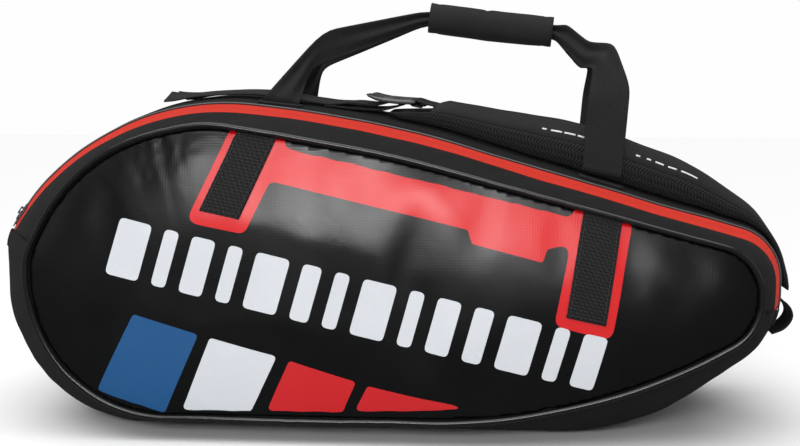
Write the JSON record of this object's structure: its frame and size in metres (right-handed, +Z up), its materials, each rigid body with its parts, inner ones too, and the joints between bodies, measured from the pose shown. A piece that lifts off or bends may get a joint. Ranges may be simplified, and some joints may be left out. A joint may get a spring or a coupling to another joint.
{
  "type": "racket tournament bag",
  "caption": "Padded racket bag with zipped side flaps, a centre divider, paired carry handles with a wrap grip, and adjustable shoulder straps on top.",
  "frame": {"origin": "centre of the flat base, on the surface that the bag stands on", "axes": "+X along the bag towards its low nose, -Y out of the front flap, +Z up"},
  "size_m": [0.807, 0.3186, 0.4274],
  "materials": {
    "tarpaulin_black": "glossy coated tarpaulin with a fine woven scrim",
    "polyester_black": "matte woven polyester",
    "webbing_black": "coarse woven webbing",
    "strap_fabric": "smooth woven polyester over foam",
    "air_mesh": "open spacer mesh",
    "grip_cover": "soft padded wrap",
    "foam": "closed-cell foam sheet",
    "lining": "plain grey lining",
    "stiffener": "flexible plastic board",
    "piping_black": "glossy extruded piping",
    "piping_pale": "pale satin piping",
    "zip_red": "red woven zip tape with a covered coil",
    "slider_metal": "pale enamelled zinc",
    "buckle_plastic": "moulded acetal",
    "print_red": "red printed film",
    "print_white": "white printed film",
    "print_blue": "blue printed film"
  },
  "bodies": {
    "bag": {"top_gusset": "polyester_black", "base_panel": "polyester_black", "left_end_gusset": "polyester_black", "right_end_gusset": "polyester_black", "base_board": "stiffener", "divider_foam": "foam", "divider_front_skin": "lining", "divider_rear_skin": "lining", "nose_tab": "webbing_black", "front_lower_gusset": "polyester_black", "front_zip_body_tape": "zip_red", "front_zip_left_end": "polyester_black", "front_zip_right_end": "polyester_black", "front_seam_piping": "piping_pale", "front_body_lining": "lining", "front_handle_anchors": "webbing_black", "front_strap_webbing": "webbing_black", "rear_lower_gusset": "polyester_black", "rear_zip_body_tape": "zip_red", "rear_zip_left_end": "polyester_black", "rear_zip_right_end": "polyester_black", "rear_seam_piping": "piping_pale", "rear_body_lining": "lining", "rear_handle_anchors": "webbing_black", "rear_strap_webbing": "webbing_black"},
    "front_flap": {"front_panel": "tarpaulin_black", "front_panel_foam": "foam", "front_panel_lining": "lining", "front_panel_piping": "piping_black", "front_upper_gusset": "polyester_black", "front_left_webbing_strip": "webbing_black", "front_right_webbing_strip": "webbing_black", "front_zip_flap_tape": "zip_red"},
    "front_slider": {"front_zip_slider": "slider_metal"},
    "front_pull": {"front_zip_pull": "slider_metal"},
    "front_handle": {"front_handle_webbing": "webbing_black", "front_handle_grip": "grip_cover"},
    "front_strap": {"front_strap_pad": "strap_fabric", "front_strap_mesh": "air_mesh", "front_strap_tab": "webbing_black"},
    "front_buckle": {"front_strap_buckle": "buckle_plastic"},
    "rear_flap": {"rear_panel": "tarpaulin_black", "rear_panel_foam": "foam", "rear_panel_lining": "lining", "rear_panel_piping": "piping_black", "rear_upper_gusset": "polyester_black", "rear_left_webbing_strip": "webbing_black", "rear_right_webbing_strip": "webbing_black", "rear_zip_flap_tape": "zip_red"},
    "rear_slider": {"rear_zip_slider": "slider_metal"},
    "rear_pull": {"rear_zip_pull": "slider_metal"},
    "rear_handle": {"rear_handle_webbing": "webbing_black", "rear_handle_grip": "grip_cover"},
    "rear_strap": {"rear_strap_pad": "strap_fabric", "rear_strap_mesh": "air_mesh", "rear_strap_tab": "webbing_black"},
    "rear_buckle": {"rear_strap_buckle": "buckle_plastic"}
  },
  "joints": [
    {"name": "front_flap_hinge", "type": "hinge", "parent": "bag", "child": "front_flap", "pos_m": [0, -0.1475, 0.0237], "axis": [1, 0, 0], "range_deg": [0, 40]},
    {"name": "front_slider_travel", "type": "hinge", "parent": "bag", "child": "front_slider", "pos_m": [-0.164, -0.082, 0.07378], "axis": [0, 1, 0], "range_deg": [0, 57]},
    {"name": "front_pull_swing", "type": "hinge", "parent": "front_slider", "child": "front_pull", "pos_m": [-0.37196, -0.0832, 0.22068], "axis": [-0.259, 0.9487, 0.1814], "range_deg": [0, 110]},
    {"name": "front_handle_swing", "type": "hinge", "parent": "bag", "child": "front_handle", "pos_m": [-0.109, -0.06, 0.3348], "axis": [0.9729, 0, -0.2314], "range_deg": [0, 90]},
    {"name": "front_strap_lift", "type": "hinge", "parent": "bag", "child": "front_strap", "pos_m": [0.399, -0.031, 0.143], "axis": [0, 1, 0], "range_deg": [0, 5]},
    {"name": "front_buckle_tilt", "type": "hinge", "parent": "front_strap", "child": "front_buckle", "pos_m": [0.0285, -0.031, 0.3285], "axis": [0, 1, 0], "range_deg": [0, 35]},
    {"name": "rear_flap_hinge", "type": "hinge", "parent": "bag", "child": "rear_flap", "pos_m": [0, 0.1475, 0.0237], "axis": [-1, 0, 0], "range_deg": [0, 40]},
    {"name": "rear_slider_travel", "type": "hinge", "parent": "bag", "child": "rear_slider", "pos_m": [-0.164, 0.082, 0.07378], "axis": [0, 1, 0], "range_deg": [0, 57]},
    {"name": "rear_pull_swing", "type": "hinge", "parent": "rear_slider", "child": "rear_pull", "pos_m": [-0.37196, 0.0832, 0.22068], "axis": [0.259, 0.9487, -0.1814], "range_deg": [0, 110]},
    {"name": "rear_handle_swing", "type": "hinge", "parent": "bag", "child": "rear_handle", "pos_m": [-0.109, 0.06, 0.3348], "axis": [-0.9729, 0, 0.2314], "range_deg": [0, 90]},
    {"name": "rear_strap_lift", "type": "hinge", "parent": "bag", "child": "rear_strap", "pos_m": [0.399, 0.031, 0.143], "axis": [0, 1, 0], "range_deg": [0, 5]},
    {"name": "rear_buckle_tilt", "type": "hinge", "parent": "rear_strap", "child": "rear_buckle", "pos_m": [0.0285, 0.031, 0.3285], "axis": [0, 1, 0], "range_deg": [0, 35]}
  ]
}
